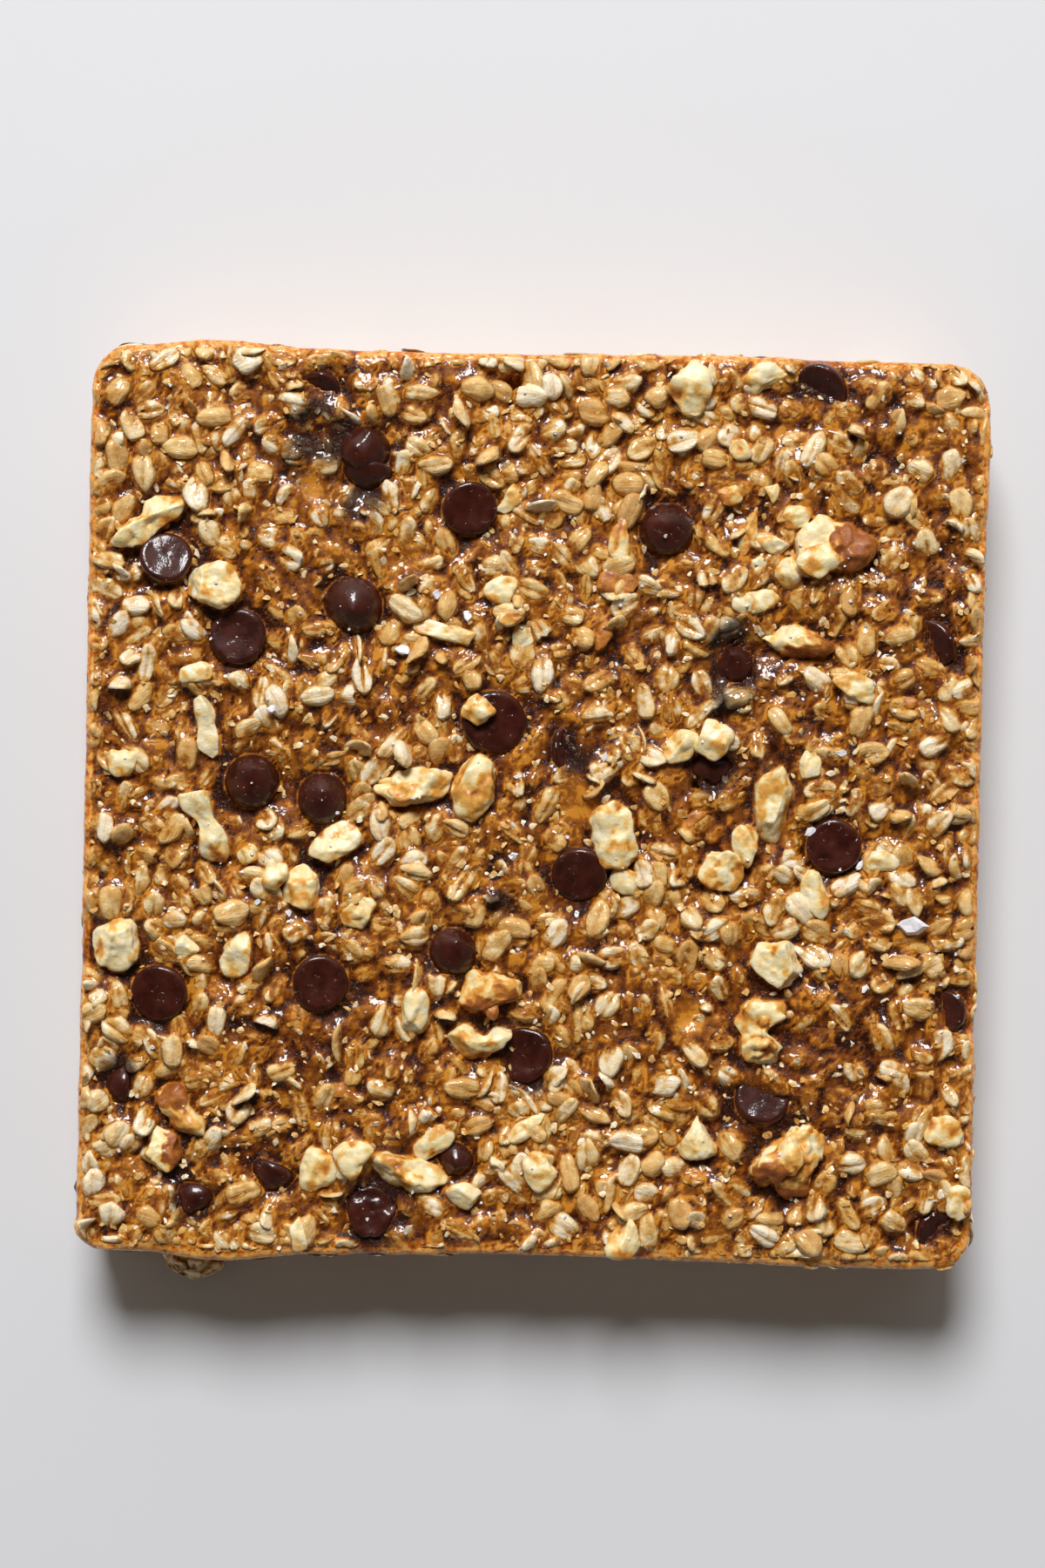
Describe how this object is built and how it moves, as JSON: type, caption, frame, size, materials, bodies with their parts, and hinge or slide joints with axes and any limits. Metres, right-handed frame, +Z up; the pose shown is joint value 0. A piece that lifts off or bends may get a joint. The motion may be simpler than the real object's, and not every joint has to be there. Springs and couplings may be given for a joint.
{
  "type": "granola bar slab",
  "caption": "Flat square slab of baked oat granola bars, not yet cut, with a glossy syrup binder and with chocolate chips and walnut pieces sunk in its uneven top.",
  "frame": {"origin": "middle of the flat underside that the slab rests on", "axes": "+Z up through the thickness; +X toward the picture's right side and +Y toward the picture's top side, so the front side is the picture's bottom"},
  "size_m": [0.2049, 0.2124, 0.034],
  "materials": {
    "baked_oats": "sticky, uneven gloss",
    "chocolate": "satin",
    "walnut": "dull, slightly oily"
  },
  "bodies": {
    "root": {"slab": "baked_oats", "chip_01": "chocolate", "chip_02": "chocolate", "chip_03": "chocolate", "chip_04": "chocolate", "chip_05": "chocolate", "chip_06": "chocolate", "chip_07": "chocolate", "chip_08": "chocolate", "chip_09": "chocolate", "chip_10": "chocolate", "chip_11": "chocolate", "chip_12": "chocolate", "chip_13": "chocolate", "chip_14": "chocolate", "chip_15": "chocolate", "chip_16": "chocolate", "chip_17": "chocolate", "chip_18": "chocolate", "chip_19": "chocolate", "chip_20": "chocolate", "chip_21": "chocolate", "chip_22": "chocolate", "chip_23": "chocolate", "chip_24": "chocolate", "chip_25": "chocolate", "chip_26": "chocolate", "chip_27": "chocolate", "chip_28": "chocolate", "chip_29": "chocolate", "chip_30": "chocolate", "chip_31": "chocolate", "walnut_01": "walnut", "walnut_02": "walnut", "walnut_03": "walnut", "walnut_04": "walnut", "walnut_05": "walnut", "walnut_06": "walnut", "walnut_07": "walnut", "walnut_08": "walnut", "walnut_09": "walnut", "walnut_10": "walnut", "walnut_11": "walnut", "walnut_12": "walnut", "walnut_13": "walnut", "walnut_14": "walnut", "walnut_15": "walnut", "walnut_16": "walnut", "walnut_17": "walnut", "walnut_18": "walnut", "walnut_19": "walnut", "walnut_20": "walnut", "walnut_21": "walnut", "walnut_22": "walnut", "walnut_23": "walnut", "walnut_24": "walnut"}
  },
  "joints": []
}
